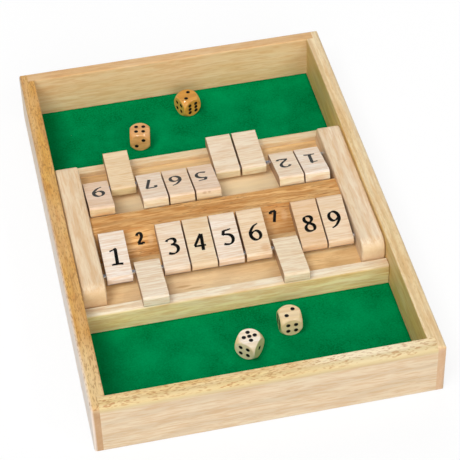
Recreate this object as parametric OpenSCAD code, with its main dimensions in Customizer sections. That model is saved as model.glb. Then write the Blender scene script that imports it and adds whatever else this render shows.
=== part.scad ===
// Shut the box game for two players. A shallow wooden box has a felt-lined dice tray at
// each end. A bridge across its middle carries two rows of nine number tiles, which turn on
// steel rods and lean on a bevelled ridge until they are flipped out over the rail.
// Millimetres, +Z up. The origin is on the table under the middle of the box, and the front
// player sits at -Y.

/* [Box] */
// Length of each dice tray, from the bridge to the end wall
tray_l = 87; // [75:1:120]
// Height of the four walls
box_h = 42; // [40:1:60]
// Thickness of the two long side walls
side_t = 11; // [9:0.5:16]
// Thickness of the two end walls
end_t = 10.5; // [8:0.5:16]
// What the end rabbet leaves of a side wall's thickness
joint_lip = 6; // [3:0.5:7]
// Rounding of the outer top edges
edge_r = 3.5; // [0.5:0.25:5]
// Rounding of the four upright corners
corner_r = 2.5; // [0.5:0.25:5]
// Rounding of the inner rim
rim_r = 1; // [0.4:0.1:2]
// Rounding of the bottom edges
foot_r = 1.4; // [0.3:0.1:3]

/* [Base] */
// Height of the base panel's underside above the table
base_lift = 3.6; // [2:0.2:8]
// Thickness of the plywood base panel
base_t = 4; // [3:0.5:6]
// How far the base panel reaches into the walls
groove_d = 4; // [2:0.5:5]
// Room left for the panel at the bottom of its groove
groove_clear = 0.3; // [0.1:0.1:1]
// Thickness of the felt in the trays
felt_t = 1; // [0.5:0.1:2]
// Gap from the felt to the walls
felt_gap = 0.3; // [0.1:0.1:1]

/* [Bridge] */
// Length of the bridge, over both rails
bridge_l = 153; // [146:1:180]
// Gap from the bridge's ends to the side walls
bridge_gap = 0.4; // [0.3:0.1:2]
// Thickness of the deck board
deck_t = 13.4; // [8:0.2:16]
// Thickness of each rail
rail_t = 7.8; // [5:0.2:10]
// How far a rail stands above the deck
rail_rise = 4; // [3:0.1:5]
// Rounding of a rail's outer top edge
rail_r = 2.2; // [0.5:0.1:4]
// Rounding of a rail's inner top edge
rail_in_r = 0.5; // [0.2:0.1:1]

/* [Ridge] */
// Width of the ridge's flat top
ridge_top = 17.2; // [10:0.2:20]
// Height of the ridge above the deck
ridge_h = 14.3; // [11:0.1:16]
// Slope of the ridge's printed sides, in degrees
ridge_slope = 43.5; // [38:0.5:55]

/* [Cheeks] */
// Thickness of each cheek
cheek_t = 16.8; // [12:0.2:24]
// Length of each cheek
cheek_l = 133; // [115:1:136]
// Height of each cheek above the deck
cheek_h = 17.7; // [15:0.1:19]
// Radius of the cheeks' round ends
cheek_r = 8.5; // [3:0.5:8.5]
// Softened edge round a cheek
cheek_edge = 1.4; // [0.4:0.1:2.5]

/* [Tiles] */
// Width of a tile
tile_w = 18; // [14:0.5:24]
// Thickness of a tile
tile_t = 8.7; // [7:0.1:10]
// Length of a tile
tile_l = 39.8; // [37:0.2:41]
// From the rod's axis to the tile's outer end
tile_tail = 6.3; // [4.5:0.1:6.6]
// Rounding at the rod end of a tile
butt_r = 2.6; // [1.6:0.1:4]
// Rounding at the free end of a tile
tip_r = 2.2; // [0.4:0.1:3]
// Usual gap between neighbouring tiles
tile_gap = 1.6; // [1:0.1:2.4]
// Gap from each row's end tiles to the cheeks
row_gap = 2.4; // [2.2:0.1:5]
// Gap between a tile and what it rests on
rest_gap = 0.1; // [0.05:0.05:0.3]

/* [Rods] */
// Diameter of the steel rods
rod_d = 3; // [2:0.5:4]
// From the middle of the bridge to each rod's axis
rod_out = 44.4; // [42:0.2:48]
// Height of the rods' axes above the deck
rod_up = 7.4; // [7:0.1:9]
// How far a rod's end is seated in a cheek
rod_seat = 8; // [4:0.5:10]
// Radial clearance of a rod in a tile's bore
bore_clear = 0.08; // [0.05:0.01:0.1]
// Radial clearance of a rod in a cheek's seat
seat_clear = 0.05; // [0.03:0.01:0.1]

/* [Dice] */
// Edge length of a die
die_a = 15.2; // [12:0.2:17]
// Diameter of the ball that rounds a die's corners
die_ball = 20.9; // [20:0.1:24]
// Diameter of a pip
pip_d = 2.6; // [1.2:0.1:2.8]
// Depth of a pip
pip_deep = 0.7; // [0.3:0.1:1]
// From the middle of a face to its outer columns of pips
pip_out = 2.7; // [2.4:0.1:3.2]
// From the middle of a face to the outer pips of its six
pip_row = 3.3; // [2.9:0.1:3.4]

/* [Hidden] */
$fn = 64;

// Tiles that have been flipped out, and how far each tile has slid along its rod from its
// even place, as a share of the usual gap, for tiles 1 to 9
front_flipped = [2, 7];
back_flipped = [3, 4, 8];
front_slide = [0.15, 0.7, 0.9, 0.7, 0.4, 0.5, 0.9, 0.7, 0.4];
back_slide = [0.4, 0.1, 1.6, 1.55, 1.5, 1.25, 1, 0.95, 0.8];

// Each die: its place across the box as a share of the inner width, its distance from the
// rail as a share of the tray, its turn in degrees, and the numbers on its top, front and
// right faces
front_dice = [[-0.011, 0.482, -40, 5, 4, 1], [0.136, 0.305, 0, 2, 4, 1]];
back_dice = [[-0.169, 0.379, -11, 4, 2, 1], [0.03, 0.732, 23, 2, 6, 3]];

// What the numbers on two opposite faces of a die add up to
face_sum = 7;

tiles = 9;
cut = 1;
span = tiles * tile_w + (tiles - 1) * tile_gap + 2 * row_gap;
inner_w = span + 2 * (cheek_t + bridge_gap);
inner_l = bridge_l + 2 * tray_l;
box_w = inner_w + 2 * side_t;
box_l = inner_l + 2 * end_t;
base_z = base_lift + base_t;
felt_z = base_z + felt_t;
deck_z = base_z + deck_t;
rail_z = deck_z + rail_rise;
rod_z = deck_z + rod_up;
ridge_foot = ridge_top / 2 + ridge_h / tan(ridge_slope);
rail_in = bridge_l / 2 - rail_t;

// Angle of a tile that leans on the ridge. The round corner under its free end, at the
// distance reach from the rod, lies against the ridge's slope.
reach_x = tile_l - tile_tail - tip_r;
reach_z = tile_t / 2 - tip_r;
reach = norm([reach_x, reach_z]);
slope_off = (rod_out - ridge_top / 2) * sin(ridge_slope) + (rod_up - ridge_h) * cos(ridge_slope);
lean = ridge_slope + atan(reach_z / reach_x) + asin((tip_r + rest_gap - slope_off) / reach);

// Angle above level of a flipped tile, whose face lies on the rail's inner edge
edge_y = rail_in - rod_out + rail_in_r;
edge_z = rod_up - rail_rise + rail_in_r;
flip_rise = asin((tile_t / 2 + rest_gap + rail_in_r) / norm([edge_y, edge_z])) - atan(edge_z / edge_y);
flipped = 180 - flip_rise;

// Outline helpers
module corner_bite(r) {
    difference() {
        translate([-cut, -cut]) square(r + cut);
        translate([r, r]) circle(r);
    }
}

module soft_rect(w, h, low_r, high_r) {
    difference() {
        translate([-w / 2, 0]) square([w, h]);
        for (side = [0, 1]) mirror([side, 0]) {
            if (low_r > 0) translate([-w / 2, 0]) corner_bite(low_r);
            translate([-w / 2, h]) mirror([0, 1]) corner_bite(high_r);
        }
    }
}

// Extrudes an outline drawn in Y and Z along X, or one drawn in X and Z along Y
module along_x(length) {
    rotate([90, 0, 90]) linear_extrude(length, center = true) children();
}

module along_y(length) {
    rotate([90, 0, 0]) linear_extrude(length, center = true) children();
}

module block(size, z) {
    translate([-size[0] / 2, -size[1] / 2, z]) cube(size);
}

// Box
module box_outside() {
    intersection() {
        along_x(box_w + cut) soft_rect(box_l, box_h, foot_r, edge_r);
        along_y(box_l + cut) soft_rect(box_w, box_h, foot_r, edge_r);
        translate([0, -box_l / 2, 0]) linear_extrude(box_h) soft_rect(box_w, box_l, corner_r, corner_r);
    }
}

module base_groove() {
    reach_in = 2 * (groove_d + groove_clear);
    block([inner_w + reach_in, inner_l + reach_in, base_t], base_lift);
}

module side_wall(side) {
    color("burlywood") difference() {
        intersection() {
            box_outside();
            translate([side * (inner_w / 2 + side_t), 0, 0]) block([2 * side_t, box_l + cut, box_h], 0);
        }
        for (end = [-1, 1]) {
            translate([0, end * (inner_l / 2 + end_t), -cut])
                block([box_w - 2 * joint_lip, 2 * end_t, box_h + 2 * cut], 0);
        }
        base_groove();
        mirror([side > 0 ? 1 : 0, 0, 0]) translate([-inner_w / 2, 0, box_h])
            along_y(inner_l) mirror([1, 1]) corner_bite(rim_r);
    }
}

module end_wall(end) {
    color("wheat") difference() {
        intersection() {
            box_outside();
            translate([0, end * (inner_l / 2 + end_t), 0]) block([box_w - 2 * joint_lip, 2 * end_t, box_h], 0);
        }
        base_groove();
        mirror([0, end > 0 ? 1 : 0, 0]) translate([0, -inner_l / 2, box_h])
            along_x(inner_w) mirror([1, 1]) corner_bite(rim_r);
    }
}

module base_panel() {
    color("tan") block([inner_w + 2 * groove_d, inner_l + 2 * groove_d, base_t], base_lift);
}

module felt(end) {
    color("green") translate([0, end * (bridge_l + tray_l) / 2, 0])
        block([inner_w - 2 * felt_gap, tray_l - 2 * felt_gap, felt_t], base_z);
}

// Bridge
module deck_board() {
    color("peru") block([inner_w - 2 * bridge_gap, 2 * rail_in, deck_t], base_z);
}

module rail(end) {
    color("moccasin") mirror([0, end > 0 ? 1 : 0, 0]) translate([0, -bridge_l / 2, base_z])
        along_x(inner_w - 2 * bridge_gap) difference() {
            square([rail_t, rail_z - base_z]);
            translate([0, rail_z - base_z]) mirror([0, 1]) corner_bite(rail_r);
            translate([rail_t, rail_z - base_z]) mirror([1, 1]) corner_bite(rail_in_r);
        }
}

module centre_ridge() {
    color("chocolate") translate([0, 0, deck_z]) along_x(span) polygon([
        [-ridge_foot, 0], [ridge_foot, 0], [ridge_top / 2, ridge_h], [-ridge_top / 2, ridge_h]
    ]);
}

// A cheek's round corner: its edge outline turned about the corner's axis
module cheek_corner() {
    rotate([0, 90, 0]) rotate_extrude() rotate(-90) soft_rect(cheek_t, cheek_r, 0, cheek_edge);
}

module cheek(side) {
    mid_y = cheek_l / 2 - cheek_r;
    color("burlywood") difference() {
        translate([side * (span + cheek_t) / 2, 0, deck_z]) {
            along_y(2 * mid_y) soft_rect(cheek_t, cheek_h, 0, cheek_edge);
            for (end = [0, 1]) mirror([0, end, 0]) translate([0, mid_y, 0]) {
                linear_extrude(cheek_h - cheek_r) soft_rect(cheek_t, cheek_r, 0, cheek_edge);
                translate([0, 0, cheek_h - cheek_r]) cheek_corner();
            }
        }
        for (end = [-1, 1]) translate([0, end * rod_out, rod_z]) rotate([0, 90, 0])
            cylinder(r = rod_d / 2 + seat_clear, h = span + 2 * rod_seat, center = true);
    }
}

module rod(end) {
    color("silver") translate([0, end * rod_out, rod_z]) rotate([0, 90, 0])
        cylinder(d = rod_d, h = span + 2 * rod_seat - 2 * seat_clear, center = true);
}

// Tiles, drawn for the front row. The back row is the same, turned half round.
module tile_outline() {
    difference() {
        translate([-tile_tail, -tile_t / 2]) square([tile_l, tile_t]);
        for (side = [0, 1]) mirror([0, side]) {
            translate([-tile_tail, -tile_t / 2]) corner_bite(butt_r);
            translate([tile_l - tile_tail, -tile_t / 2]) mirror([1, 0]) corner_bite(tip_r);
        }
        circle(rod_d / 2 + bore_clear);
    }
}

module tile(number, slide, is_flipped) {
    x = (number - (tiles + 1) / 2) * (tile_w + tile_gap) + slide * tile_gap;
    color("navajowhite") translate([x, -rod_out, rod_z]) rotate([is_flipped ? flipped : lean, 0, 0])
        along_x(tile_w) tile_outline();
}

// Dice
function pip_places(number) = concat(
    number % 2 == 1 ? [[0, 0]] : [],
    number > 1 ? [[pip_out, pip_out], [-pip_out, -pip_out]] : [],
    number > 3 && number < 6 ? [[-pip_out, pip_out], [pip_out, -pip_out]] : []
);

function six_places() = [for (x = [-pip_out, pip_out], y = [-pip_row, 0, pip_row]) [x, y]];

module pips(number) {
    ball_r = (pow(pip_d / 2, 2) + pow(pip_deep, 2)) / (2 * pip_deep);
    for (place = number == 6 ? six_places() : pip_places(number))
        translate([place[0], place[1], die_a / 2 - pip_deep + ball_r]) sphere(ball_r);
}

module die(top, front, right) {
    difference() {
        intersection() {
            cube(die_a, center = true);
            sphere(d = die_ball);
        }
        pips(top);
        rotate([180, 0, 0]) pips(face_sum - top);
        rotate([90, 0, 0]) pips(front);
        rotate([-90, 0, 0]) pips(face_sum - front);
        rotate([90, 0, 90]) pips(right);
        rotate([90, 0, -90]) pips(face_sum - right);
    }
}

module placed_die(end, spec, tint) {
    place = [spec[0] * inner_w, end * (bridge_l / 2 + spec[1] * tray_l), felt_z + die_a / 2];
    color(tint) translate(place) rotate(spec[2]) die(spec[3], spec[4], spec[5]);
}

side_wall(-1);  // left_wall
side_wall(1);  // right_wall
end_wall(-1);  // front_wall
end_wall(1);  // back_wall
base_panel();
felt(-1);  // front_felt
felt(1);  // back_felt
deck_board();
rail(-1);  // front_rail
rail(1);  // back_rail
centre_ridge();
cheek(-1);  // left_cheek
cheek(1);  // right_cheek
rod(-1);  // front_rod
rod(1);  // back_rod
for (n = [1:tiles]) {
    tile(n, front_slide[n - 1], len(search(n, front_flipped)) > 0);
    rotate(180) tile(n, back_slide[n - 1], len(search(n, back_flipped)) > 0);
}
for (n = [1, 2]) {
    placed_die(-1, front_dice[n - 1], "wheat");
    placed_die(1, back_dice[n - 1], "sandybrown");
}
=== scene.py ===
"""A shut the box game for two players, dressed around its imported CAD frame.

The wooden solids stay and get softened edges and their finishes. Numbers, pip paint and felt
are made here as meshes of their own. Lengths in the classes are millimetres and Blender's are
metres, in the frame of the CAD model: +Z up, the front player at -Y, the table at Z = 0.
"""

import logging
import math
import random
from dataclasses import dataclass, field, replace
from enum import Enum

import bpy
from mathutils import Matrix, Vector, noise
from mathutils.geometry import delaunay_2d_cdt


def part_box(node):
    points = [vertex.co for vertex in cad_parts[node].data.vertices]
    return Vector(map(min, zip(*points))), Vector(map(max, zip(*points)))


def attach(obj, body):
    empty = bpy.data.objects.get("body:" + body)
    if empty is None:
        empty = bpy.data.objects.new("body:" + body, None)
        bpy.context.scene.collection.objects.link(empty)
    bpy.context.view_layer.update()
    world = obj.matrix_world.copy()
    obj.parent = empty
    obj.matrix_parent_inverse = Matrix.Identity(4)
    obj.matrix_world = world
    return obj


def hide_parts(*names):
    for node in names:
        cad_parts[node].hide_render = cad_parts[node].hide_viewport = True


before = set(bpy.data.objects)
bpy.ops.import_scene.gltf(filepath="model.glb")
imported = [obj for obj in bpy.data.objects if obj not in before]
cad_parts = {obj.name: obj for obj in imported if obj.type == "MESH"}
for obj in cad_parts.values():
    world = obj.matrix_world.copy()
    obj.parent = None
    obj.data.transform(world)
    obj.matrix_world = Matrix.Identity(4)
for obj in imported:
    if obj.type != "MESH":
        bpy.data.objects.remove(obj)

log = logging.getLogger("shut_the_box")

Material = bpy.types.Material
Tree = bpy.types.NodeTree
Node = bpy.types.Node
Socket = bpy.types.NodeSocket
Piece = bpy.types.Object
Face = tuple[int, ...]
Point = tuple[float, float, float]
Span = tuple[float, float]

MM = 0.001
BOX_BODY = "box"
NUMBERS = range(1, 10)


def srgb(code: str) -> tuple[float, float, float, float]:
    """Turns an sRGB hex colour into the linear RGBA that shaders take.

    Args:
        code: Six hex digits with a leading hash sign.

    Returns:
        Red, green, blue and an alpha of 1, linear.
    """
    parts = [int(code[i : i + 2], 16) / 255 for i in (1, 3, 5)]
    linear = [c / 12.92 if c <= 0.04045 else ((c + 0.055) / 1.055) ** 2.4 for c in parts]
    return (*linear, 1)


def add_node(tree: Tree, kind: str, sockets: dict | None = None, **settings) -> Node:
    """Adds a shader node with its settings, and fills or links its inputs.

    Args:
        tree: The node tree that gets the node.
        kind: The node's type, without its ShaderNode prefix.
        sockets: Input name or number to a value, or to the output socket that feeds it.
        **settings: Properties of the node itself.

    Returns:
        The new node.
    """
    node = tree.nodes.new("ShaderNode" + kind)
    for name, value in settings.items():
        setattr(node, name, value)
    for key, value in (sockets or {}).items():
        if isinstance(value, Socket):
            tree.links.new(value, node.inputs[key])
        else:
            node.inputs[key].default_value = value
    return node


def blend(tree: Tree, share: object, first: object, second: object, mode: str = "MIX") -> Socket:
    """Mixes two colours. Each input is a value or the socket that gives it.

    Args:
        tree: The node tree.
        share: The second colour's share.
        first: The first colour.
        second: The second colour.
        mode: How they are mixed.

    Returns:
        The mixed colour.
    """
    sockets = {0: share, 6: first, 7: second}
    return add_node(tree, "Mix", sockets, data_type="RGBA", blend_type=mode).outputs[2]


def remap(
    tree: Tree, value: Socket, source: Span = (0, 1), target: Span = (0, 1), smooth: bool = False
) -> Socket:
    """Moves a value from one range to another and holds it there.

    Args:
        tree: The node tree.
        value: The value.
        source: The range that it has.
        target: The range that it gets.
        smooth: Whether it starts and ends gently.

    Returns:
        The new value.
    """
    (low, high), (least, most) = source, target
    sockets = {"Value": value, "From Min": low, "From Max": high, "To Min": least, "To Max": most}
    kind = "SMOOTHSTEP" if smooth else "LINEAR"
    return add_node(tree, "MapRange", sockets, interpolation_type=kind).outputs[0]


def maths(tree: Tree, operation: str, *inputs: object) -> Socket:
    """Adds a calculation with numbers, each a value or a socket, and returns its result."""
    return add_node(tree, "Math", dict(enumerate(inputs)), operation=operation).outputs[0]


def vector(tree: Tree, operation: str, *inputs: object) -> Socket:
    """Adds a calculation with vectors, each a value or a socket.

    Args:
        tree: The node tree.
        operation: What is done.
        *inputs: The vectors, in order.

    Returns:
        The result: a number for a length or a dot product, and otherwise a vector.
    """
    node = add_node(tree, "VectorMath", dict(enumerate(inputs)), operation=operation)
    return node.outputs["Value" if operation in ("LENGTH", "DOT_PRODUCT") else "Vector"]


def blank_material(name: str) -> tuple[Material, Tree]:
    """Makes an empty node material.

    Args:
        name: The material's name.

    Returns:
        The material and its node tree.
    """
    material = bpy.data.materials.new(name)
    material.use_nodes = True
    material.node_tree.nodes.clear()
    return material, material.node_tree


def show(tree: Tree, shader: Node, kind: str = "OutputMaterial") -> None:
    """Makes a shader the one that the tree shows.

    Args:
        tree: The node tree.
        shader: The shader's node.
        kind: The type of the output node.
    """
    tree.links.new(shader.outputs[0], add_node(tree, kind).inputs["Surface"])


def close(upper: list[Vector], lower: list[Vector], faces: list[Face]) -> tuple[list[Vector], list[Face]]:
    """Makes a thin closed skin of a sheet and the sheet below it.

    Args:
        upper: The upper sheet's points.
        lower: The point that lies below each of them.
        faces: The upper sheet's faces, counter-clockwise from above.

    Returns:
        The skin's points and faces.
    """
    count = len(upper)
    edges = {edge: None for face in faces for edge in zip(face, face[1:] + face[:1])}
    skin = faces + [tuple(count + i for i in reversed(face)) for face in faces]
    skin += [(b, a, count + a, count + b) for a, b in edges if (b, a) not in edges]
    return upper + lower, skin


def mesh_piece(
    name: str, points: list[Vector], faces: list[Face], finish: Material, smooth: bool = True
) -> Piece:
    """Makes an object from points and faces.

    Args:
        name: The piece's name.
        points: Vertices in metres, in the CAD frame.
        faces: Vertex numbers of each face.
        finish: The material of the whole piece.
        smooth: Whether the faces are shaded smooth.

    Returns:
        The linked object.
    """
    mesh = bpy.data.meshes.new(name)
    mesh.from_pydata(points, [], faces)
    mesh.validate()
    mesh.polygons.foreach_set("use_smooth", [smooth] * len(mesh.polygons))
    mesh.materials.append(finish)
    piece = bpy.data.objects.new(name, mesh)
    bpy.context.collection.objects.link(piece)
    log.info("made %s", name)
    return piece


def dress(node: str, finish: Material) -> Piece:
    """Gives a CAD node its finish.

    Args:
        node: The CAD node's name.
        finish: The material it gets.

    Returns:
        The node's object.
    """
    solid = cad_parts[node]
    solid.data.materials.clear()
    solid.data.materials.append(finish)
    log.info("dressed %s", node)
    return solid


def soften(solid: Piece, radius: float, steps: int = 3) -> None:
    """Rounds a CAD solid's sharp edges a little, as sanding does. Its own mesh isn't touched.

    Args:
        solid: The CAD node's object.
        radius: Rounding in millimetres.
        steps: Faces across each rounded edge.
    """
    weld = solid.modifiers.new("weld", "WELD")
    weld.merge_threshold = 1e-6
    bevel = solid.modifiers.new("sanded_edges", "BEVEL")
    bevel.width = radius * MM
    bevel.segments = steps
    bevel.limit_method = "ANGLE"
    bevel.angle_limit = math.radians(40)
    bevel.use_clamp_overlap = True
    bevel.harden_normals = True


class Player(Enum):
    """A player's side of the box. Their tray and their row of tiles are named after it."""

    FRONT = "front"
    BACK = "back"

    @property
    def turn(self) -> float:
        """How far this side is turned about the middle of the box."""
        return math.pi if self is Player.BACK else 0.0


class Grain(Enum):
    """Which way the fibres of a board run: the turn about Z that brings them to X."""

    ACROSS = 0.0
    ALONG = math.radians(-90)

    @property
    def direction(self) -> Point:
        """The fibres' direction in the CAD frame."""
        return (1, 0, 0) if self is Grain.ACROSS else (0, 1, 0)


# Directions that a board's side can face
UP: Point = (0, 0, 1)
LEFT: Point = (-1, 0, 0)
RIGHT: Point = (1, 0, 0)
FRONT: Point = (0, -1, 0)
BACK: Point = (0, 1, 0)

FLAT: Span = (0.75, 0.95)  # a side's tint that stops at its rounded edges
END_GRAIN: Span = (0.5, 0.9)  # how square to the fibres a face is cut before it shows end grain
STOCK_MM = 400.0  # each board is cut from another place within this much wood
SOAKED: Span = (0.3, 0.65)  # the patches' noise from where lacquer soaks in least to most
LATE_WOOD: Span = (-0.4, 1)  # the part of a growth ring's wave that is dark


@dataclass(frozen=True)
class Side:
    """How one side differs: a tint, the wood's own or painted light and shade, and how many brown flecks
    it shows.
    """

    way: Point
    tint: str
    flecks: float = 0.0
    least: float = 0.6  # the tint's share where the lacquer soaked in least
    fleck: str = "#a5692a"
    turn: Span = (0.2, 0.6)  # over which part of a rounded edge it fades in


@dataclass(frozen=True)
class Mark:
    """A paler or darker patch, resin streak or knot, or painted light and shade: its middle and half sizes
    in millimetres.
    """

    middle: Point
    size: Point
    colour: str
    share: float
    core: float = 0.45  # the part of its size within which it doesn't fade

    def laid_on(self, tree: Tree, place: Socket, colour: Socket) -> Socket:
        """Adds the mark to a wood.

        Args:
            tree: The wood's node tree.
            place: The place on the piece, in metres.
            colour: The wood's colour so far.

        Returns:
            The wood's colour with the mark.
        """
        middle = [c * MM for c in self.middle]
        shrink = [1 / (c * MM) for c in self.size]
        sized = vector(tree, "MULTIPLY", vector(tree, "SUBTRACT", place, middle), shrink)
        share = remap(tree, vector(tree, "LENGTH", sized), (self.core, 1), (self.share, 0))
        return blend(tree, share, colour, srgb(self.colour))


@dataclass(frozen=True)
class Pattern:
    """One noise of the wood, drawn out along the fibres, and from where to where it shows."""

    along: float
    across: float = 1.0
    detail: float = 2.0
    rough: float = 0.5
    step: Span = (0, 1)

    def cells(self, tree: Tree, place: Socket) -> Node:
        """Adds the noise.

        Args:
            tree: The wood's node tree.
            place: The place in the board, in millimetres, with X along the fibres.

        Returns:
            The noise's node.
        """
        shrink = [1 / self.along, 1 / self.across, 1 / self.across]
        squeezed = vector(tree, "MULTIPLY", place, shrink)
        sockets = {"Vector": squeezed, "Scale": 1.0, "Detail": self.detail, "Roughness": self.rough}
        return add_node(tree, "TexNoise", sockets)

    def share(self, tree: Tree, value: Socket, most: float = 1.0) -> Socket:
        """Returns how much of the pattern shows where its noise has a value."""
        return remap(tree, value, self.step, (0, most), smooth=True)


# The patterns of every wood. The wood itself says how wide its streaks, fibres and pores are
WARP = Pattern(70, 22)
STREAKS = Pattern(150, detail=3.0, rough=0.55, step=(0.38, 0.66))
FIBRES = Pattern(16, rough=0.6, step=(0.44, 0.62))
PORES = Pattern(5.5, detail=1.0, step=(0.60, 0.70))
PATCHES = Pattern(45, 11, step=(0.42, 0.62))
BLOTCHES = Pattern(20, 5, detail=3.0, rough=0.6, step=(0.44, 0.68))
FLECKS = Pattern(3.6, 0.9, detail=1.0, step=(0.52, 0.64))


@dataclass(frozen=True)
class Rubberwood:
    """Rubberwood, planed, sanded and clear lacquered.

    A pale straw wood with long tan streaks, faint growth rings and short brown pores that run
    with the fibres. The sanded lacquer leaves a soft, even gloss and just a trace of the pores
    under the finger. End grain drinks more lacquer and looks darker.
    """

    base: str = "#ead2ac"
    streak: str = "#dcb884"
    pore: str = "#b27f45"
    end: str = "#d3a56c"
    end_share: float = 0.75
    blush: str = "#d3a066"
    sides: tuple[Side, ...] = ()
    marks: tuple[Mark, ...] = ()
    grain: Grain = Grain.ACROSS
    streak_mm: float = 6.0
    streak_share: float = 0.55
    blush_share: float = 0.3
    ring_mm: float = 4.5
    ring_share: float = 0.14
    ring_tilt: float = 0.05  # between the pith and the board: it draws the rings out to arches
    ring_wander: float = 9.0
    sway_mm: float = 4.0  # how far the streaks wander
    fibre_mm: float = 1.3  # real fibres are finer: drawn just coarse enough to show
    fibre_share: float = 0.2
    pore_mm: float = 0.7  # real pores are finer too
    pore_share: float = 0.45
    pore_depth: float = 0.12
    pith_mm: Span = (70, -55)  # from the middle of the box, across the board and up
    roughness: Span = (0.41, 0.53)  # between the fibres and on them
    specular: float = 0.4
    gloss: float = 0.05
    gloss_rough: float = 0.22
    seed: int = 0

    def material(self, name: str) -> Material:
        """Builds the wood's material.

        Args:
            name: The material's name.

        Returns:
            The node material, a solid pattern that runs through the board.
        """
        material, tree = blank_material(name)
        draw = random.Random(f"wood {name} {self.seed}")
        shift = [draw.uniform(-STOCK_MM, STOCK_MM) for _ in range(3)]
        place = add_node(tree, "TexCoord")
        turned = {
            "Vector": place.outputs["Object"],
            "Rotation": (0, 0, self.grain.value),
            "Scale": (1 / MM, 1 / MM, 1 / MM),
        }
        board = add_node(tree, "Mapping", turned).outputs[0]
        moved = vector(tree, "ADD", board, shift)
        warp = WARP.cells(tree, moved).outputs["Color"]
        sway = vector(tree, "MULTIPLY_ADD", warp, (0, self.sway_mm, self.sway_mm), moved)
        fibres = replace(FIBRES, across=self.fibre_mm).cells(tree, sway).outputs[0]
        patches = PATCHES.cells(tree, sway).outputs[0]
        dots = replace(PORES, across=self.pore_mm).cells(tree, sway).outputs[0]
        dotted = PORES.share(tree, dots, self.pore_share)
        pores = maths(tree, "MULTIPLY", PATCHES.share(tree, patches), dotted)
        body = self._streaked(tree, sway, self._rings(tree, board, warp))
        body = blend(tree, FIBRES.share(tree, fibres, self.fibre_share), body, srgb(self.blush))
        body = blend(tree, pores, body, srgb(self.pore))
        colour = self._sided(tree, place, body, patches, sway)
        depth = maths(tree, "SUBTRACT", fibres, pores)
        relief = {"Height": depth, "Strength": 0.25, "Distance": self.pore_depth * MM}
        lacquer = {
            "Base Color": colour,
            "Roughness": remap(tree, fibres, target=self.roughness),
            "Normal": add_node(tree, "Bump", relief).outputs[0],
            "IOR": 1.48,
            "Specular IOR Level": self.specular,
            "Coat Weight": self.gloss,
            "Coat Roughness": self.gloss_rough,
        }
        show(tree, add_node(tree, "BsdfPrincipled", lacquer))
        return material

    def _streaked(self, tree: Tree, sway: Socket, rings: Socket) -> Socket:
        """Colours the board's streaks, blotches and growth rings.

        Args:
            tree: The wood's node tree.
            sway: The place in the board, swaying with the fibres.
            rings: The wave of the growth rings.

        Returns:
            The colour.
        """
        streaks = replace(STREAKS, across=self.streak_mm).cells(tree, sway).outputs[0]
        blotches = BLOTCHES.cells(tree, sway).outputs[0]
        shown = STREAKS.share(tree, streaks, self.streak_share)
        body = blend(tree, shown, srgb(self.base), srgb(self.streak))
        body = blend(tree, BLOTCHES.share(tree, blotches, self.blush_share), body, srgb(self.blush))
        dark = remap(tree, rings, LATE_WOOD, (0, self.ring_share), smooth=True)
        return blend(tree, dark, body, srgb(self.pore))

    def _rings(self, tree: Tree, board: Socket, warp: Socket) -> Socket:
        """Adds growth rings about a pith line that runs beside the board.

        Args:
            tree: The wood's node tree.
            board: The place in the board, in millimetres.
            warp: The noise that bends the rings.

        Returns:
            The rings' wave, from -1 to 1.
        """
        bent = vector(tree, "MULTIPLY_ADD", warp, (0, self.ring_wander, self.ring_wander), board)
        offset = vector(tree, "SUBTRACT", bent, (0, *self.pith_mm))
        tilted = add_node(tree, "Mapping", {"Vector": offset, "Rotation": (0, self.ring_tilt, 0)})
        radius = vector(tree, "LENGTH", vector(tree, "MULTIPLY", tilted.outputs[0], (0, 1, 1)))
        return maths(tree, "SINE", maths(tree, "MULTIPLY", radius, 2 * math.pi / self.ring_mm))

    def _sided(self, tree: Tree, place: Node, body: Socket, patches: Socket, sway: Socket) -> Socket:
        """Colours the end grain and tints the sides, then adds marks and flecks.

        Args:
            tree: The wood's node tree.
            place: The node that gives the place and the surface's direction.
            body: The wood's colour so far.
            patches: The noise by which lacquer soaks in.
            sway: The place in the board, swaying with the fibres.

        Returns:
            The colour.
        """
        turn = place.outputs["Normal"]
        square = maths(tree, "ABSOLUTE", vector(tree, "DOT_PRODUCT", turn, self.grain.direction))
        ends = remap(tree, square, END_GRAIN, (0, self.end_share), smooth=True)
        colour = blend(tree, ends, body, srgb(self.end))
        shares = []
        for side in self.sides:
            here = remap(tree, vector(tree, "DOT_PRODUCT", turn, side.way), side.turn, smooth=True)
            share = maths(tree, "MULTIPLY", here, remap(tree, patches, SOAKED, (side.least, 1)))
            colour = blend(tree, share, colour, srgb(side.tint), "MULTIPLY")
            shares.append(share)
        for mark in self.marks:
            colour = mark.laid_on(tree, place.outputs["Object"], colour)
        flecks = FLECKS.cells(tree, sway).outputs[0]
        for side, share in zip(self.sides, shares):
            if side.flecks:
                gathered = maths(tree, "MULTIPLY", FLECKS.share(tree, flecks, side.flecks), share)
                colour = blend(tree, gathered, colour, srgb(side.fleck))
        return colour


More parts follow.
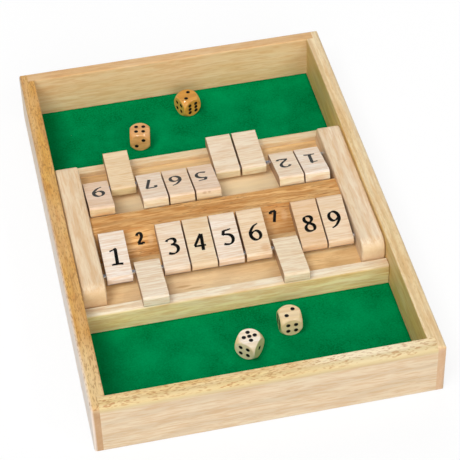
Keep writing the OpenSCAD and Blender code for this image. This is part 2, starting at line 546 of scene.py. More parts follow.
@dataclass(frozen=True)
class Baize:
    """Green felt, pressed wool or polyester fibre, glued down flat.

    The matted fibres scatter light, so it has no gloss, a faint mottled nap and a few pale
    specks of lint.
    """

    base: str = "#009455"
    shade: str = "#006f3a"
    lint: str = "#b9c7a8"
    fuzz: str = "#009a50"
    nap_mm: float = 1.1
    cloud_mm: float = 24.0
    lint_mm: float = 7.0
    bare_mm: float = 17.0  # size of the stretches that have no lint
    shaded: Span = (0.12, 0.4)  # from where to where the noise darkens the green
    lint_edge: Span = (0.02, 0.045)  # a speck's soft edge, as shares of lint_mm
    lint_share: float = 0.5
    linty: Span = (0.58, 0.62)  # from where to where a stretch has lint

    def material(self, name: str) -> Material:
        """Builds the felt's material.

        Args:
            name: The material's name.

        Returns:
            The node material.
        """
        material, tree = blank_material(name)
        place = add_node(tree, "TexCoord").outputs["Object"]
        noises = []
        for size, detail in ((self.nap_mm, 3), (self.cloud_mm, 3), (self.bare_mm, 1)):
            sockets = {"Vector": place, "Scale": 1 / (size * MM), "Detail": detail}
            noises.append(add_node(tree, "TexNoise", sockets).outputs[0])
        nap, cloud, rare = noises
        mottled = remap(tree, maths(tree, "MULTIPLY", nap, cloud), self.shaded)
        green = blend(tree, mottled, srgb(self.base), srgb(self.shade))
        threads = {"Vector": place, "Scale": 1 / (self.lint_mm * MM), "Randomness": 1.0}
        specks = add_node(tree, "TexVoronoi", threads).outputs["Distance"]
        near = remap(tree, specks, self.lint_edge, (self.lint_share, 0))
        dusty = maths(tree, "MULTIPLY", near, remap(tree, rare, self.linty))
        relief = {"Height": nap, "Strength": 0.5, "Distance": 0.2 * MM}
        felt = {
            "Base Color": blend(tree, dusty, green, srgb(self.lint)),
            "Normal": add_node(tree, "Bump", relief).outputs[0],
            "Roughness": 0.97,
            "Specular IOR Level": 0.0,
            "Sheen Weight": 0.04,
            "Sheen Roughness": 0.6,
            "Sheen Tint": srgb(self.fuzz),
        }
        show(tree, add_node(tree, "BsdfPrincipled", felt))
        return material


@dataclass(frozen=True)
class DrawnSteel:
    """Bright mild steel rod, cold drawn through a die.

    Fine lines from the die run round the rod's length and stretch its highlights.
    """

    colour: str = "#dfe4ec"
    roughness: Span = (0.17, 0.34)
    line_mm: Point = (50 / 3, 0.25, 0.25)  # length and width of the lines

    def material(self, name: str) -> Material:
        """Builds the steel's material.

        Args:
            name: The material's name.

        Returns:
            The node material.
        """
        material, tree = blank_material(name)
        place = add_node(tree, "TexCoord").outputs["Object"]
        lines = vector(tree, "MULTIPLY", place, [1 / (mm * MM) for mm in self.line_mm])
        drawn = add_node(tree, "TexNoise", {"Vector": lines, "Scale": 1.0, "Detail": 2.0}).outputs[0]
        relief = {"Height": drawn, "Strength": 0.1, "Distance": 0.05 * MM}
        steel = {
            "Base Color": srgb(self.colour),
            "Metallic": 1.0,
            "Roughness": remap(tree, drawn, target=self.roughness),
            "Normal": add_node(tree, "Bump", relief).outputs[0],
        }
        show(tree, add_node(tree, "BsdfPrincipled", steel))
        return material


@dataclass(frozen=True)
class BlackPaint:
    """Black ink or paint on lacquered wood: printed numbers, or pips filled with a brush.

    It dries to a thin satin film that lets a little of the wood's texture through.
    """

    colour: str = "#030202"
    worn: str = "#0a0908"
    roughness: Span = (0.2, 0.4)
    specular: float = 0.26
    texture_mm: float = 0.9

    def material(self, name: str) -> Material:
        """Builds the paint's material.

        Args:
            name: The material's name.

        Returns:
            The node material.
        """
        material, tree = blank_material(name)
        place = add_node(tree, "TexCoord").outputs["Object"]
        texture = {"Vector": place, "Scale": 1 / (self.texture_mm * MM), "Detail": 3.0}
        film = add_node(tree, "TexNoise", texture).outputs[0]
        paint = {
            "Base Color": blend(tree, film, srgb(self.colour), srgb(self.worn)),
            "Roughness": remap(tree, film, target=self.roughness),
            "IOR": 1.5,
            "Specular IOR Level": self.specular,
        }
        show(tree, add_node(tree, "BsdfPrincipled", paint))
        return material


# Each figure is drawn in this box with a broad pen. A stroke is a row of points, each with the
# half handle of the curve through it: x, y, handle x, handle y.
FIGURE_BOX: Span = (9.4, 13.8)
Stroke = list[tuple[float, float, float, float]]

FIGURES: dict[int, list[Stroke]] = {
    1: [
        [(5.45, 12.3, -0.1, -4), (5.05, 0.2, 0, -4)],
        [(1.2, 11.1, 1.4, 0.1), (6, 13, 0.9, 0.7)],
        [(1, -0.3, 1.5, 0.4), (5.2, -0.1, 1.5, 0.1), (9, -0.5, 1.4, -0.3)],
    ],
    2: [
        [
            (1, 10.3, 0.4, 1.4), (4.2, 13.1, 1.7, 0), (7.4, 9.9, 0, -1.8), (4.9, 5, -1.5, -1.7),
            (1.7, 1.5, -1.1, -1.1),
        ],
        [(1.2, 1.2, 1.6, 0), (8.2, 0.9, 1.2, 0)],
        [(8.1, 0.8, 0.3, 0.5), (8.9, 2.6, 0.2, 0.7)],
    ],
    3: [
        [(0.9, 11.3, 0.5, 1.3), (4.5, 13.3, 1.6, 0), (7.1, 11, 0, -1.5), (3.9, 8.5, -1.5, -0.4)],
        [(3.6, 8.4, 2.5, 0.4), (8.2, 4.8, 0, -2.2), (4.2, 0.9, -1.8, 0), (1.1, 1.9, -0.6, 0.3)],
    ],
    4: [
        [(6.3, 13.3, -1.8, -3), (0.7, 4.1, -1.6, -2.5)],
        [(0.4, 3.7, 2.6, 0), (8.5, 3.7, 1.8, 0.1)],
        [(6.7, 13.2, -0.1, -4), (6, -0.2, -0.1, -4)],
    ],
    5: [
        [(2.7, 12.4, 1.6, 0.1), (7.9, 13.4, 1, 0.5)],
        [(2.8, 12.7, -0.3, -1.4), (1.8, 8.9, -0.3, -1.2)],
        [
            (1.5, 8.8, 1.6, 0.6), (4.9, 9.1, 1.9, -0.4), (8.2, 5.1, 0, -2.2), (4.8, 0.9, -1.7, 0),
            (1.2, 1.7, -0.6, 0.3),
        ],
    ],
    6: [
        [
            (7.7, 13.9, -2.9, -0.9), (2.6, 9.9, -1.3, -1.9), (1.15, 5.4, 0, -2.3), (4.7, 0.8, 1.9, 0),
            (8.05, 4.5, 0, 2), (5.2, 8.2, -1.6, 0), (1.8, 6.2, -0.9, -0.9),
        ],
    ],
    7: [
        [(1.3, 9.9, 0, 0.9), (1.6, 12.5, 0.1, 0.8)],
        [(1.3, 12.4, 2, 0.1), (8.6, 12.9, 2, 0.2)],
        [(8.1, 12.8, -1, -3.8), (4.7, 0.2, -0.9, -3.8)],
    ],
    8: [
        [
            (7.3, 10.5, 0, 1.5), (4.6, 12.9, -1.6, 0), (1.9, 10.4, 0, -1.7), (4.9, 7.1, 1.5, -0.9),
            (8, 3.5, 0, -1.9), (4.9, 0.5, -1.9, 0), (1.8, 3.4, 0, 1.8), (4.7, 7.1, 1.4, 1),
            (7.3, 10.5, 0, 1.5), (7.2, 11.1, -0.2, 0.5),
        ],
    ],
}
# A nine is a six turned half round
FIGURES[9] = [[(9.4 - x, 14.1 - y, -hx, -hy) for x, y, hx, hy in stroke] for stroke in FIGURES[6]]


@dataclass(frozen=True)
class BroadPen:
    """A broad pen held at a slant, which gives each stroke its thick and thin places."""

    thick: float = 2.5
    thin: float = 1.02
    slant: float = math.radians(20)
    samples: int = 14

    def outline(self, number: int, size: Span) -> tuple[list[Vector], list[Face]]:
        """Draws a figure and fills it.

        Args:
            number: The figure, 1 to 9.
            size: Its width and height in millimetres.

        Returns:
            The points of the filled figure about its middle, and its triangles.
        """
        scale = Vector((size[0] / FIGURE_BOX[0], size[1] / FIGURE_BOX[1]))
        quads = [quad for stroke in FIGURES[number] for quad in self._ribbon(stroke, scale)]
        corners = [point for quad in quads for point in quad]
        faces = [list(range(4 * i, 4 * i + 4)) for i in range(len(quads))]
        points, _, triangles, _, _, sources = delaunay_2d_cdt(corners, [], faces, 1, 1e-4)
        return points, [tuple(t) for t, source in zip(triangles, sources) if source]

    def _spine(self, stroke: Stroke, scale: Vector) -> list[Vector]:
        """Follows a stroke's middle line.

        Args:
            stroke: The stroke's points and handles.
            scale: The figure's size over that of its box.

        Returns:
            Points along the stroke, about the figure's middle.
        """
        middle = Vector(FIGURE_BOX) / 2
        spine = []
        for (x0, y0, hx0, hy0), (x1, y1, hx1, hy1) in zip(stroke, stroke[1:]):
            pulls = ((x0, y0), (x0 + hx0, y0 + hy0), (x1 - hx1, y1 - hy1), (x1, y1))
            knots = [(Vector(p) - middle) * scale for p in pulls]
            for i in range(self.samples + (stroke[-1][:2] == (x1, y1))):
                t = i / self.samples
                ways = [(1 - t) ** 3, 3 * t * (1 - t) ** 2, 3 * t * t * (1 - t), t**3]
                spine.append(sum((k * w for k, w in zip(knots, ways)), Vector((0, 0))))
        return spine

    def _ribbon(self, stroke: Stroke, scale: Vector) -> list[list[Vector]]:
        """Turns a stroke into quads, as wide as the pen draws in each direction.

        Args:
            stroke: The stroke's points and handles.
            scale: The figure's size over that of its box.

        Returns:
            The quads, each counter-clockwise.
        """
        spine = self._spine(stroke, scale)
        sides = []
        for i, point in enumerate(spine):
            ahead = (spine[min(i + 1, len(spine) - 1)] - spine[max(i - 1, 0)]).normalized()
            broad = abs(math.sin(math.atan2(ahead.y, ahead.x) - self.slant))
            width = self.thin + (self.thick - self.thin) * broad
            across = Vector((-ahead.y, ahead.x)) * width / 2
            sides.append((point + across, point - across))
        quads = []
        for a, b in zip(sides, sides[1:]):
            if (a[0] - b[0]).length + (a[1] - b[1]).length > 1e-5:
                quad = [a[0], a[1], b[1], b[0]]
                area = sum(p.cross(q) for p, q in zip(quad, quad[1:] + quad[:1]))
                quads.append(quad if area > 0 else quad[::-1])
        return quads


@dataclass(frozen=True)
class PrintedFigure:
    """One printed figure: a film of ink a few hundredths of a millimetre proud of the wood."""

    pen: BroadPen
    size: Span
    proud: float = 0.035
    sunk: float = 0.05

    def place(self, name: str, number: int, spot: Matrix, ink: Material, body: str) -> None:
        """Makes the figure as a closed mesh.

        Args:
            name: The piece's name.
            number: The figure.
            spot: Where it stands: X to its right, Y to its top and Z out of the wood, in mm.
            ink: The ink's material.
            body: The CAD body it rides on.
        """
        flat, triangles = self.pen.outline(number, self.size)
        sheets = ([spot @ Vector((p.x, p.y, z)) * MM for p in flat] for z in (self.proud, -self.sunk))
        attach(mesh_piece(name, *close(*sheets, triangles), ink, smooth=False), body)


# Sub-assemblies


@dataclass
class BoxFrame:
    """The four walls, joined with end rabbets, and the plywood base panel between them."""

    sanding: float = 0.35
    side: Rubberwood = Rubberwood(
        base="#f0dec2", streak="#dfc192", pore="#98632c", end="#cba079", grain=Grain.ALONG,
        pore_share=0.2, fibre_share=0.3,
    )
    end: Rubberwood = Rubberwood(
        base="#efdabc", streak="#e1be97", pore="#98632c", end="#cba079", pore_share=0.14,
        fibre_share=0.36, streak_mm=2.0, streak_share=0.3, blush_share=0.12,
    )

    def build(self) -> None:
        """Dresses the walls and the base panel. Their planed top edges drank more lacquer."""
        for node, wood in self._walls().items():
            soften(dress(node, wood.material(f"rubberwood_{node}")), self.sanding)
        ply = Rubberwood(
            base="#e6cfa9", streak="#d3ad7a", ring_mm=14.0, ring_share=0.3, streak_mm=16.0, gloss=0.0
        )
        dress("base_panel", ply.material("plywood_base"))

    def _walls(self) -> dict[str, Rubberwood]:
        """Describes the four walls.

        Returns:
            The wood of each wall, by the wall's node.
        """
        return {
            "left_wall": replace(
                self.side,
                seed=1, pith_mm=(40, -80),
                sides=(
                    Side(UP, "#e8c26d", flecks=0.6, least=0.75, fleck="#9a6226"),
                    # Painted bounce light: the inner face is tinted yellow for the warm light bounced
                    # inside the box.
                    Side(RIGHT, "#edda9c", turn=FLAT),
                    Side(FRONT, "#e3d9c4", turn=FLAT),
                ),
                marks=(
                    Mark((-112.5, -150, 42), (13, 44, 6), "#efdcae", 0.45),
                    # A whitish patch on the outer face, strongest at the front: painted reflection of the
                    # white table and painted light.
                    Mark((-118, -174, 10), (2.4, 360, 60), "#fff2e6", 0.75),
                ),
            ),
            "right_wall": replace(
                self.side,
                seed=2, pith_mm=(-60, 50),
                # The inner face's yellow tint is painted bounce light from inside the box.
                sides=(Side(UP, "#fcf8e2", flecks=0.12), Side(LEFT, "#ffefac", turn=FLAT)),
                marks=(Mark((107, 138, 25), (6, 60, 30), "#bf9458", 0.35),),
            ),
            "front_wall": replace(
                self.end,
                seed=3,
                sides=(
                    Side(UP, "#fffcd1", flecks=0.75, least=0.3, fleck="#b06c2a"),
                    # The inner face's tint is painted bounce light; the outer front face's grey tint is
                    # painted shade.
                    Side(BACK, "#efdfa6", turn=FLAT),
                    Side(FRONT, "#f0f1ee", turn=FLAT),
                ),
                marks=(
                    Mark((66, -167, 42), (52, 8, 5), "#fbf0d2", 0.65),
                    Mark((0, -173.4, 40.6), (420, 5, 5), "#d7c08c", 0.8),
                    Mark((76, -172.4, 42), (52, 4, 4), "#e0cfa6", 0.55),
                ),
            ),
            "back_wall": replace(
                self.end,
                seed=4, base="#ecd6b0", streak="#dfc190", streak_mm=6.0, streak_share=0.35,
                ring_share=0.06,
                # The inner face's tint is painted shade and warm bounce light.
                sides=(Side(UP, "#ecd3b4", flecks=0.05), Side(FRONT, "#f9e9d7", turn=FLAT)),
            ),
        }


@dataclass
class TrayFelts:
    """The felt sheets in the two trays, glued down on the base panel."""

    pitch: float = 2.0  # spacing of the mesh
    nap: float = 0.06  # unevenness of the matted surface
    sunk: float = 0.12  # so that no hill of the nap reaches into a die
    edge_drop: float = 0.3  # the cut edge is pressed down a little
    hills: tuple[tuple[float, float, float], ...] = ((1, 5, 0), (0.6, 1.7, 9))
    finish: Baize = Baize()

    def build(self) -> None:
        """Makes both felts."""
        green = self.finish.material("green_baize")
        for player in Player:
            self._sheet(player.value, green)

    def _nap(self, x: float, y: float) -> float:
        """Returns how high the nap stands at a place. Each kind of hill has a share, size and seed."""
        return self.nap * sum(s * noise.noise(Vector((x, y, seed)) / size) for s, size, seed in self.hills)

    def _sheet(self, row: str, green: Material) -> None:
        """Makes one felt over its CAD solid.

        Args:
            row: Which player's tray.
            green: The felt's material.
        """
        low, high = (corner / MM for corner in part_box(f"{row}_felt"))
        width, length = high.x - low.x, high.y - low.y
        nx, ny = round(width / self.pitch), round(length / self.pitch)
        top, flat = [], []
        for j in range(ny + 1):
            for i in range(nx + 1):
                x, y = low.x + width * i / nx, low.y + length * j / ny
                at_edge = i in (0, nx) or j in (0, ny)
                z = high.z - (self.edge_drop if at_edge else self.sunk) + self._nap(x, y)
                top.append(Vector((x, y, z)) * MM)
                flat.append(Vector((x, y, low.z)) * MM)
        across = nx + 1
        corners = [j * across + i for j in range(ny) for i in range(nx)]
        faces = [(a, a + 1, a + across + 1, a + across) for a in corners]
        felt = mesh_piece(f"{row}_baize", *close(top, flat, faces), green)
        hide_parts(f"{row}_felt")
        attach(felt, BOX_BODY)


@dataclass
class Bridge:
    """The deck with its rails, the bevelled ridge with small numbers, the cheeks and the rods."""

    ridge_top: float = 17.2
    ridge_slope: float = math.radians(43.5)
    pitch: float = 19.6
    sanding: dict[str, float] = field(  # the cheeks are rounded in the CAD
        default_factory=lambda: dict(deck_board=0.3, front_rail=0.3, back_rail=0.3, centre_ridge=0.35)
    )
    figure: PrintedFigure = PrintedFigure(BroadPen(thick=2.3, thin=1.4, slant=math.radians(15)), (5, 8.6))
    figure_drop: float = 7.8  # from the ridge's top edge to the figures' middle, down the slope
    drift: dict[int, float] = field(default_factory=lambda: {2: 0.9, 7: -0.6})
    pale: Rubberwood = Rubberwood(
        base="#f4e9d0", streak="#e8d1a5", pore_share=0.2, fibre_share=0.35, sway_mm=1.8
    )

    def build(self, ink: Material) -> None:
        """Dresses the bridge and prints the ridge's numbers.

        Args:
            ink: The ink's material.
        """
        woods = {
            "deck_board": self._deck(),
            # The face towards the front tray is tinted yellow: painted bounce light from the felt and
            # walls.
            "front_rail": replace(self.pale, seed=5, sides=(Side(FRONT, "#fff5c9", turn=FLAT),)),
            "back_rail": replace(
                self.pale,
                seed=6, base="#e7d3ad", streak="#d8b584", streak_share=0.5, ring_share=0.04,
                blush_share=0.3,
            ),
            "centre_ridge": self._ridge(),
            "left_cheek": replace(
                self.pale, seed=8, base="#ead5b5", streak="#dec097", end="#e0bd90", grain=Grain.ALONG
            ),
            "right_cheek": replace(
                self.pale, seed=9, base="#ebd9be", streak="#e1c7a0", end="#e6c8a0", grain=Grain.ALONG
            ),
        }
        for node, wood in woods.items():
            solid = dress(node, wood.material(f"rubberwood_{node}"))
            if node in self.sanding:
                soften(solid, self.sanding[node])
        steel = DrawnSteel().material("drawn_steel")
        for player in Player:
            dress(f"{player.value}_rod", steel)
        for player in Player:
            for number in NUMBERS:
                self._print_number(player, number, ink)

    def _deck(self) -> Rubberwood:
        """Describes the deck: tan, with a paler stretch under each row and a small knot.

        Returns:
            The deck's wood.
        """
        return Rubberwood(
            base="#f7d49c", streak="#e0ad6a", fibre_share=0.35,
            marks=(
                Mark((0, 32, 21), (140, 14, 8), "#fdeac2", 0.75),
                Mark((-30, -61, 21), (76, 18, 6), "#ffe9c4", 0.34),
                Mark((0, 61, 21), (80, 14, 6), "#ffe0ac", 0.25),
                Mark((-36, -59.5, 21), (7, 1.3, 3), "#b98346", 0.55),
                Mark((-29, -62.5, 21), (8, 1, 3), "#b98346", 0.5),
                Mark((-33, -66, 21), (10, 1, 3), "#c08c50", 0.45),
            ),
            ring_share=0.28, ring_mm=5.5, ring_tilt=0.12, pith_mm=(-58, -30), streak_mm=8.0,
            blush="#d09c60", blush_share=0.25,
        )

    def _ridge(self) -> Rubberwood:
        """Describes the ridge: brown, and scuffed where the tiles knock against it.

        Returns:
            The ridge's wood.
        """
        return Rubberwood(
            base="#e6b878", streak="#cd9450", pore="#7f4a1e", end="#b87a40", blush="#bf7f3a",
            blush_share=0.45, streak_mm=3.0, streak_share=0.6, pore_share=0.8, ring_share=0.25,
            fibre_share=0.9,
            marks=(
                Mark((-50.5, -15.2, 29.1), (2.6, 5.5, 5.5), "#e8c69c", 0.3),
                Mark((-62, -19, 25.5), (6, 2.2, 2.2), "#e4c29a", 0.25),
                Mark((46.5, -14.5, 29.8), (3, 5, 5), "#e4c096", 0.3),
            ),
            seed=7,
        )

    def _print_number(self, player: Player, number: int, ink: Material) -> None:
        """Prints one small number on the slope under its tile.

        Args:
            player: Whose row it is.
            number: The number.
            ink: The ink's material.
        """
        edge = Vector((0, -self.ridge_top / 2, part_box("centre_ridge")[1].z / MM))
        down = Vector((0, -math.cos(self.ridge_slope), -math.sin(self.ridge_slope)))
        middle = edge + down * self.figure_drop
        drift = self.drift.get(number, 0) if player is Player.FRONT else 0.0
        middle.x = (number - 5) * self.pitch + drift
        lean = Matrix.Rotation(self.ridge_slope, 4, "X")
        spot = Matrix.Rotation(player.turn, 4, "Z") @ Matrix.Translation(middle) @ lean
        self.figure.place(f"{player.value}_ridge_figure_{number}", number, spot, ink, BOX_BODY)


@dataclass
class TileRow:
    """One player's nine number tiles on their rod."""

    player: Player
    flipped: tuple[int, ...]
    tones: list[str]  # of the tiles 1 to 9
    tile_t: float = 8.7
    lean: float = math.radians(13.882)
    flat: float = math.radians(177.565)
    figure_up: float = 12.6  # from the rod's axis to the numbers' middle, along the tile
    figure: PrintedFigure = PrintedFigure(BroadPen(), (9.4, 13.8))
    drift: dict[int, Span] = field(default_factory=dict)  # right and up, of single figures
    near_end_shade_tint: str = "#ffffff"  # tint of the ends that face the front player: painted shade that tones down the light they catch
    marks: dict[int, tuple[Mark, ...]] = field(default_factory=dict)
    painted_shade_edge: Span | None = None  # Y and Z of the leaning tiles' lower front edge, where a dark band is painted as shade
    painted_shade_reach: float = 2.8  # how far up the painted shade reaches
    sanding: float = 0.25
    # The dark end colour on the tiles' sides is end grain, made darker still as painted shade in the
    # narrow gaps between tiles.
    wood: Rubberwood = Rubberwood(
        streak="#e0c195", end="#976840", pore_share=0.15, streak_mm=4.0, streak_share=0.32,
        blush_share=0.12, ring_mm=3.6, ring_share=0.08, fibre_share=0.4, fibre_mm=1.0, sway_mm=2.4,
    )

    def build(self, ink: Material) -> None:
        """Dresses the tiles and prints their numbers.

        Args:
            ink: The ink's material.
        """
        for number, tone in zip(NUMBERS, self.tones):
            node = f"{self.player.value}_tile_{number}"
            low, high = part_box(node)
            x = (low.x + high.x) / 2 / MM
            marks = self.marks.get(number, ())
            # A dark band along each leaning tile's lower front edge: painted shade of the gap under the
            # tile.
            if self.painted_shade_edge and number not in self.flipped:
                marks += (Mark((x, *self.painted_shade_edge), (20, self.painted_shade_reach, self.painted_shade_reach), "#3f1e0e", 0.9),)
            near_end = Side(FRONT, self.near_end_shade_tint, turn=FLAT)
            wood = replace(self.wood, base=tone, sides=(near_end,), marks=marks, seed=number)
            soften(dress(node, wood.material(f"rubberwood_{node}")), self.sanding)
            self._print_number(number, x, node, ink)

    def _print_number(self, number: int, x: float, node: str, ink: Material) -> None:
        """Prints a tile's number on its face, which lies below when the tile is flipped.

        Args:
            number: The number.
            x: The tile's middle along its rod.
            node: The tile's CAD node and body.
            ink: The ink's material.
        """
        low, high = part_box(f"{self.player.value}_rod")
        axis = (low + high) / 2 / MM
        half_turn = Matrix.Rotation(self.player.turn, 4, "Z")
        angle = self.flat if number in self.flipped else self.lean
        right, up = self.drift.get(number, (0, 0))
        spot = (
            Matrix.Translation((x, axis.y, axis.z))
            @ half_turn
            @ Matrix.Rotation(angle, 4, "X")
            @ Matrix.Translation((right, self.figure_up + up, self.tile_t / 2))
        )
        self.figure.place(f"{self.player.value}_figure_{number}", number, spot, ink, node)


@dataclass
class Dice:
    """Four wooden dice, turned as they fell, with painted pips."""

    pip_d: float = 2.6
    pip_deep: float = 0.7
    pip_out: float = 2.7
    pip_row: float = 3.3
    film: float = 0.05  # thickness of the paint in a pip; half as much again lies in the wood
    rim: float = 0.03  # how proud the paint stands around a pip
    spill: float = 0.22  # how far the paint runs over the pip's rim
    around: int = 20  # faces round a pip
    rings: int = 6  # faces from a pip's middle to the end of the spill
    thrown: dict[str, tuple[float, int, int, int]] = field(
        default_factory=lambda: {  # turn in degrees and the top, front and right numbers
            "front_die_1": (-40, 5, 4, 1),
            "front_die_2": (0, 2, 4, 1),
            "back_die_1": (-11, 4, 2, 1),
            "back_die_2": (23, 2, 6, 3),
        }
    )
    pale: Rubberwood = Rubberwood(
        base="#fef3e2", streak="#f1dcb5", end="#ffdf98", blush="#ecca8e", roughness=(0.25, 0.37),
        gloss=0.9, gloss_rough=0.08, streak_mm=3.0, pore_share=0.15, blush_share=0.25,
    )

    def build(self, paint: Material) -> None:
        """Dresses the dice and paints their pips.

        Args:
            paint: The paint's material.
        """
        dark = replace(self.pale, pore="#8a5220", blush="#c97e34")
        woods = {
            "front_die_1": self.pale,
            "front_die_2": replace(self.pale, base="#f3dcb4", streak="#e5c68f", end="#ddc48a"),
            "back_die_1": replace(dark, base="#ebb575", streak="#d99a59", end="#e39c4e"),
            "back_die_2": replace(dark, base="#e5a647", streak="#d28e30", end="#dfab4b"),
        }
        for node, (turn, *numbers) in self.thrown.items():
            wood = replace(woods[node], seed=numbers[0])
            dress(node, wood.material(f"turned_wood_{node}"))
            self._paint_pips(node, math.radians(turn), numbers, paint)

    def _places(self, number: int) -> list[Span]:
        """Finds where the pips of a number stand on their face.

        Args:
            number: The number, 1 to 6.

        Returns:
            The pips' middles, from the middle of the face.
        """
        out, row = self.pip_out, self.pip_row
        if number == 6:
            return [(x, y) for x in (-out, out) for y in (-row, 0, row)]
        places = [(0, 0)] if number % 2 else []
        if number > 1:
            places += [(out, out), (-out, -out)]
        if number > 3:
            places += [(-out, out), (out, -out)]
        return places

    def _paint_pips(self, node: str, turn: float, numbers: list[int], paint: Material) -> None:
        """Paints all the pips of a die as one mesh of thin shells in the dimples.

        Args:
            node: The die's CAD node and body.
            turn: Its turn about Z.
            numbers: The numbers on its top, front and right faces.
            paint: The paint's material.
        """
        low, high = (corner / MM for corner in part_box(node))
        stand = Matrix.Translation((low + high) / 2) @ Matrix.Rotation(turn, 4, "Z")
        quarter = math.pi / 2
        top, front, right = numbers
        looks = {
            top: Matrix.Identity(4),
            7 - top: Matrix.Rotation(math.pi, 4, "X"),
            front: Matrix.Rotation(quarter, 4, "X"),
            7 - front: Matrix.Rotation(-quarter, 4, "X"),
            right: Matrix.Rotation(quarter, 4, "Z") @ Matrix.Rotation(quarter, 4, "X"),
            7 - right: Matrix.Rotation(-quarter, 4, "Z") @ Matrix.Rotation(quarter, 4, "X"),
        }
        shell, shell_faces = self._pip_shell()
        points, faces = [], []
        for pips, look in looks.items():
            for x, y in self._places(pips):
                spot = stand @ look @ Matrix.Translation((x, y, (high.z - low.z) / 2))
                start = len(points)
                points += [spot @ p * MM for p in shell]
                faces += [tuple(start + i for i in f) for f in shell_faces]
        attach(mesh_piece(f"{node}_pips", points, faces, paint), node)

    def _pip_shell(self) -> tuple[list[Vector], list[Face]]:
        """Makes the paint of one pip: a thin closed bowl that lines its dimple.

        Returns:
            The bowl's points about the middle of the pip's rim, and its faces.
        """
        ball = ((self.pip_d / 2) ** 2 + self.pip_deep**2) / (2 * self.pip_deep)
        centre = ball - self.pip_deep
        around, rings = self.around, self.rings
        sheets = []
        for radius, lift in ((ball - self.film, self.rim), (ball + self.film / 2, -self.film / 2)):
            reach = math.acos(centre / radius)
            falls = [reach * ring / (rings - 1) for ring in range(1, rings)]
            outline = [(radius * math.sin(fall), centre - radius * math.cos(fall)) for fall in falls]
            sheet = [Vector((0, 0, centre - radius))]
            for out, height in [*outline, (self.pip_d / 2 + self.spill, lift)]:
                spins = [2 * math.pi * k / around for k in range(around)]
                sheet += [Vector((out * math.cos(spin), out * math.sin(spin), height)) for spin in spins]
            sheets.append(sheet)
        faces: list[Face] = []
        for k in range(around):
            after = (k + 1) % around
            faces.append((0, 1 + k, 1 + after))
            starts = [1 + ring * around for ring in range(rings - 1)]
            faces += [(a + after, a + k, a + around + k, a + around + after) for a in starts]
        return close(*sheets, faces)


@dataclass(frozen=True)
class Lamp:
    """One light of the studio: a far lamp behind a diffuser, so its shadows are soft."""

    name: str
    strength: float
    softness: float  # in degrees, how wide it looks from the table
    comes_from: Point
    shows: bool = True  # whether gloss mirrors it: the white backdrop stands for the wide ones

    def hang(self) -> None:
        """Adds the lamp to the scene."""
        sun = bpy.data.lights.new(self.name, "SUN")
        sun.energy = self.strength
        sun.angle = math.radians(self.softness)
        lamp = bpy.data.objects.new(self.name, sun)
        lamp.rotation_euler = Vector(self.comes_from).to_track_quat("Z", "Y").to_euler()
        lamp.visible_glossy = self.shows
        bpy.context.collection.objects.link(lamp)


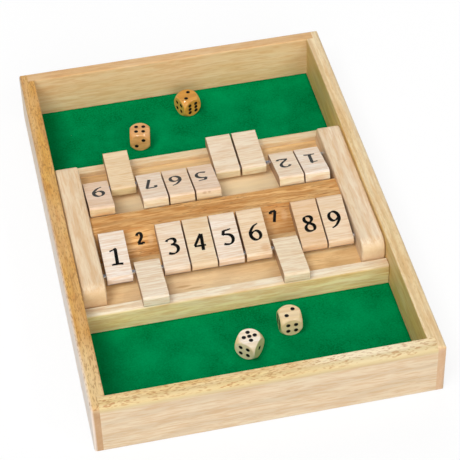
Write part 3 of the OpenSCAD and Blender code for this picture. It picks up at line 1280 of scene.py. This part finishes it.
@dataclass
class Studio:
    """The table, the light and the camera at the photograph's place."""

    image_px: float = 460.0
    focal_px: float = 1850.43
    sensor_mm: float = 36.0
    azimuth: float = math.radians(-10.90)
    elevation: float = math.radians(43.66)
    roll: float = math.radians(-1.88)
    target: Point = (11.59, 9.98, 0)
    distance: float = 1350.3
    sky: float = 0.11
    ceiling: Span = (0.42, 0.66)  # sines of the heights where the wall ends and the ceiling begins
    ceiling_light: float = 0.12
    table_reach: float = 4000.0
    table_glow: float = 0.84  # how much of what shows is the white backdrop, and not lit paper
    lamps: tuple[Lamp, ...] = (
        Lamp("key", 1.08, 24, (-0.36, -0.24, 0.90)),
        Lamp("front_wall_glow", 1.95, 50, (-0.04, -0.91, 0.42), shows=False),
        Lamp("back_wall_glow", 1.25, 50, (0, 0.91, 0.42), shows=False),
        Lamp("left_umbrella", 0.42, 9, (-0.46, -0.52, 0.71)),
        Lamp("right_umbrella", 0.42, 9, (0.52, -0.55, 0.64)),
    )

    def build(self) -> None:
        """Sets up camera, light and table."""
        self._camera()
        self._light()
        self._table()
        bpy.context.scene.view_settings.view_transform = "Standard"
        log.info("studio ready")

    def _camera(self) -> None:
        """Makes the scene's camera."""
        data = bpy.data.cameras.new("camera")
        data.sensor_width = self.sensor_mm
        data.lens = self.focal_px / self.image_px * self.sensor_mm
        data.clip_end = 20.0
        a, e = self.azimuth, self.elevation
        back = Vector((math.sin(a) * math.cos(e), -math.cos(a) * math.cos(e), math.sin(e)))
        right = (-back).cross(Vector(UP)).normalized()
        up = right.cross(-back)
        right, up = (
            right * math.cos(self.roll) + up * math.sin(self.roll),
            up * math.cos(self.roll) - right * math.sin(self.roll),
        )
        camera = bpy.data.objects.new("camera", data)
        turn = Matrix((right, up, back)).transposed().to_4x4()
        place = (Vector(self.target) + back * self.distance) * MM
        camera.matrix_world = Matrix.Translation(place) @ turn
        bpy.context.collection.objects.link(camera)
        bpy.context.scene.camera = camera

    def _light(self) -> None:
        """Hangs the lamps and makes an even sky. What shows is a white wall under a dark ceiling."""
        for lamp in self.lamps:
            lamp.hang()
        world = bpy.data.worlds.new("studio")
        world.use_nodes = True
        tree = world.node_tree
        tree.nodes.clear()
        way = add_node(tree, "SeparateXYZ", {0: add_node(tree, "TexCoord").outputs["Generated"]})
        height = remap(tree, way.outputs["Z"], self.ceiling, (1, self.ceiling_light), smooth=True)
        dim, white = (
            add_node(tree, "Background", {"Color": (1, 1, 1, 1), "Strength": strength}).outputs[0]
            for strength in (self.sky, height)
        )
        show(tree, add_node(tree, "MixShader", {0: self._seen(tree), 1: dim, 2: white}), "OutputWorld")
        bpy.context.scene.world = world

    def _seen(self, tree: Tree) -> Socket:
        """Adds a switch that is 1 for rays that show the background: camera, gloss and glass.

        Args:
            tree: The node tree.

        Returns:
            The switch.
        """
        path = add_node(tree, "LightPath")
        seen = path.outputs["Is Camera Ray"]
        for ray in ("Is Glossy Ray", "Is Transmission Ray"):
            seen = maths(tree, "MAXIMUM", seen, path.outputs[ray])
        return seen

    def _table(self) -> None:
        """Makes the white table top, which keeps a soft shadow of the box."""
        material, tree = blank_material("white_table")
        seen = self._seen(tree)
        paper = blend(tree, seen, srgb("#bcbcbc"), srgb("#fafafa"))
        matt = add_node(tree, "BsdfDiffuse", {"Color": paper}).outputs[0]
        glow = add_node(tree, "Emission", {"Color": (1, 1, 1, 1), "Strength": 1.0}).outputs[0]
        share = maths(tree, "MULTIPLY", seen, self.table_glow)
        show(tree, add_node(tree, "MixShader", {0: share, 1: matt, 2: glow}))
        reach = self.table_reach * MM
        corners = [Vector((x * reach, y * reach, 0)) for x, y in ((-1, -1), (1, -1), (1, 1), (-1, 1))]
        mesh_piece("table", corners, [(0, 1, 2, 3)], material, smooth=False)


def front_row() -> TileRow:
    """Describes the front player's tiles.

    Returns:
        The row, ready to build.
    """
    return TileRow(
        Player.FRONT,
        flipped=(2, 7),
        tones="#f0e6db #f0e3cd #ecddca #e9d6b8 #efe2d3 #ead4b6 #f1e2c6 #e4c4a1 #ead7be".split(),
        marks={
            4: (Mark((-18.5, -17.5, 39.3), (11, 11, 4), "#d5b288", 0.4),),
            6: (Mark((25.5, -46, 32), (4, 5, 3), "#cf9a68", 0.45),),
            9: (Mark((79, -17.5, 39.3), (11, 11, 4), "#d5b288", 0.25),),
        },
        # Where the painted shade under the leaning tiles' front edges lies.
        painted_shade_edge=(-49.4, 23.8),
        drift={3: (0.1, -0.15), 4: (0, -0.1), 5: (0.8, 0), 6: (0.8, 0), 8: (0.1, 0), 9: (-0.6, 0)},
    )


def back_row() -> TileRow:
    """Describes the back player's tiles.

    Returns:
        The row, ready to build.
    """
    return TileRow(
        Player.BACK,
        flipped=(3, 4, 8),
        tones="#f3e8da #f1e1cb #edddc4 #eddcc3 #ebd4bf #ecd5bc #f0e0ce #ebd3ad #e8cdb5".split(),
        # The near ends' tint is painted shade.
        figure_up=11.8, near_end_shade_tint="#f3f7e4",
        marks={
            1: (Mark((77.8, 12, 35), (9, 3, 2.5), "#cf9a62", 0.4),),
            5: (
                Mark((-5.5, 11.5, 38.5), (2.2, 3, 1.3), "#a9785c", 0.5),
                Mark((-2, 11.5, 38.6), (1.6, 3, 1.1), "#a9785c", 0.5),
            ),
            9: (Mark((-79.7, 12, 34.5), (9, 3, 1.6), "#d79a54", 0.55),),
        },
        drift={1: (-0.5, 1.4), 2: (0.9, 1), 5: (1.2, 0.6), 6: (1.3, 0.4), 7: (0.4, 0), 9: (-0.5, -0.6)},
    )


def main() -> None:
    """Builds the studio and then each sub-assembly."""
    bpy.context.view_layer.update()
    Studio().build()
    ink = BlackPaint().material("printing_ink")
    matt = BlackPaint(colour="#020202", worn="#060505", roughness=(0.32, 0.52), specular=0.2)
    BoxFrame().build()
    TrayFelts().build()
    Bridge().build(ink)
    front_row().build(ink)
    back_row().build(ink)
    Dice().build(matt.material("pip_paint"))
    bpy.context.view_layer.update()


if __name__ == "__main__":
    logging.basicConfig(level=logging.INFO, format="%(message)s")
    main()
